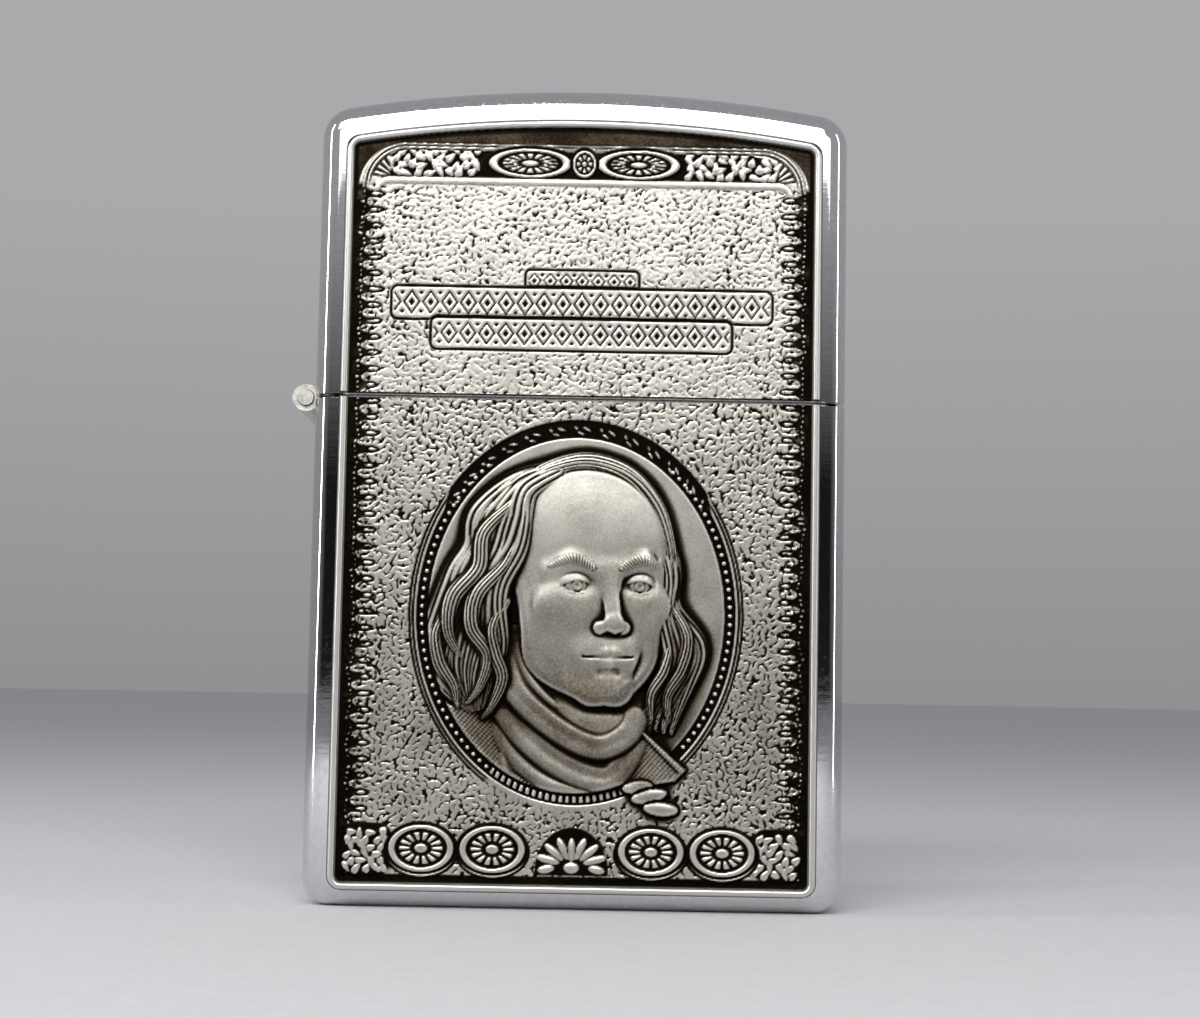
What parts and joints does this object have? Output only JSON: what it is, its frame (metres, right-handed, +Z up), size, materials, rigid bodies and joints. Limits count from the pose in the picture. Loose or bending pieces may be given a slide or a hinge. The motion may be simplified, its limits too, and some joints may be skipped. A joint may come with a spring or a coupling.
{
  "type": "windproof flip-top lighter",
  "caption": "Flip-top windproof petrol lighter with a hinged lid, relief plaques on its front and a complete insert with wick, flint and wheel.",
  "frame": {"origin": "middle of the case's flat base", "axes": "+Z up along the lighter's height, -Y out of the decorated front, hinge on the -X side"},
  "size_m": [0.0385, 0.0142, 0.0568],
  "materials": {
    "chrome": "polished",
    "pewter": "antiqued satin",
    "stainless": "satin",
    "brass": "turned",
    "tool_steel": "hardened, knurled",
    "flint": "dull",
    "cotton": "fibrous",
    "felt": "felted"
  },
  "bodies": {
    "case": {"case_shell": "chrome", "case_plaque": "pewter", "hinge_leaf_case": "chrome", "hinge_pin": "chrome", "insert_case": "stainless", "chimney": "stainless", "wheel_axle": "brass", "cam_rivet": "stainless", "cam_spring": "stainless", "cam_spring_rivet": "stainless", "flint_tube": "brass", "flint_spring": "stainless", "wick": "cotton", "packing_1": "cotton", "packing_2": "cotton", "packing_3": "cotton", "packing_4": "cotton", "felt_pad": "felt"},
    "lid": {"lid_shell": "chrome", "lid_plaque": "pewter", "hinge_leaf_lid": "chrome", "lid_stop_plate": "stainless"},
    "cam": {"cam": "stainless"},
    "wheel": {"flint_wheel": "tool_steel"},
    "flint_carrier": {"flint": "flint", "flint_spring_tip": "brass"},
    "flint_screw": {"flint_screw": "brass"}
  },
  "joints": [
    {"name": "lid_hinge", "type": "hinge", "parent": "case", "child": "lid", "pos_m": [-0.0191, 0, 0.03485], "axis": [0, -1, 0], "range_deg": [0, 125]},
    {"name": "cam_pivot", "type": "hinge", "parent": "case", "child": "cam", "pos_m": [-0.0102, 0, 0.043], "axis": [0, -1, 0], "range_deg": [-30, 0]},
    {"name": "wheel_spin", "type": "hinge", "parent": "case", "child": "wheel", "pos_m": [0.0099, 0, 0.0462], "axis": [0, 1, 0], "continuous": true},
    {"name": "flint_feed", "type": "slide", "parent": "case", "child": "flint_carrier", "axis": [0, 0, -1], "range_m": [0, 0.002], "stiffness_N_per_m": 120, "springref_m": -0.003, "deforming": ["flint_spring"]},
    {"name": "flint_screw_turn", "type": "hinge", "parent": "case", "child": "flint_screw", "pos_m": [0.0099, 0, 0.0025], "axis": [0, 0, 1], "continuous": true}
  ],
  "couplings": [
    {"joint": "cam_pivot", "follows": "lid_hinge", "ratio": -0.24}
  ]
}
